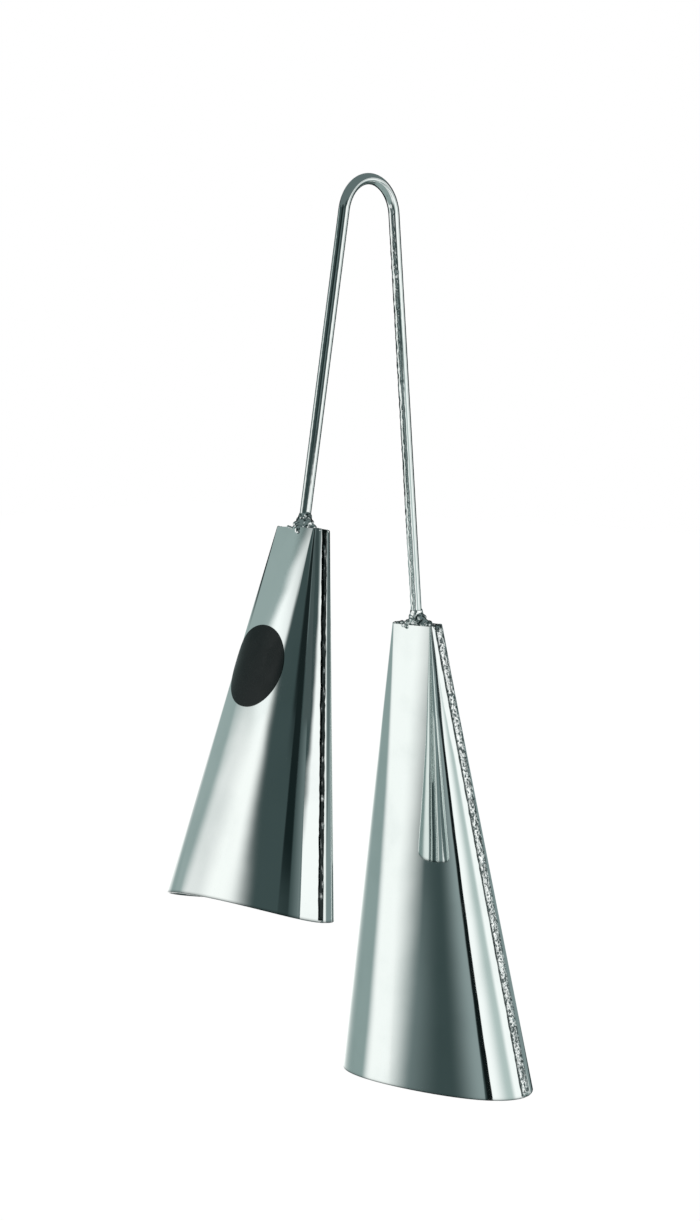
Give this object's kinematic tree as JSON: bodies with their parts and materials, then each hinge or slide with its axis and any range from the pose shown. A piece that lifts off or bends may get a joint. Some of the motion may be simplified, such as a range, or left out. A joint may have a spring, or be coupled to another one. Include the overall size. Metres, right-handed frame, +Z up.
{
  "type": "agogo bell",
  "caption": "Agogo bell: a small and a large folded, seam-welded chrome bell on the ends of a bent rod handle, held or hung by its bend and struck with a stick.",
  "frame": {"origin": "inside of the handle's bend, at its top, where a hook or peg carries the hanging instrument", "axes": "+Z up as it hangs; the handle's U lies in the XZ plane with the small bell towards -X and the large bell towards +X; the welded seams face -Y"},
  "size_m": [0.1771, 0.1049, 0.4134],
  "materials": {
    "bell_chrome": "bright chrome plate on folded sheet steel, lightly polish-marked",
    "rod_chrome": "bright chrome plate on round steel rod with faint drawing lines",
    "weld_chrome": "chrome plate over lumpy, undressed weld bead",
    "badge_black": "blank satin black foil badge"
  },
  "bodies": {
    "root": {"handle_rod": "rod_chrome", "small_bell_shell": "bell_chrome", "small_bell_crown_plate": "bell_chrome", "small_bell_crown_weld": "weld_chrome", "small_bell_seam_weld": "weld_chrome", "small_bell_neck_weld": "weld_chrome", "large_bell_shell": "bell_chrome", "large_bell_crown_plate": "bell_chrome", "large_bell_crown_weld": "weld_chrome", "large_bell_seam_weld": "weld_chrome", "large_bell_neck_weld": "weld_chrome", "badge": "badge_black"}
  },
  "joints": []
}
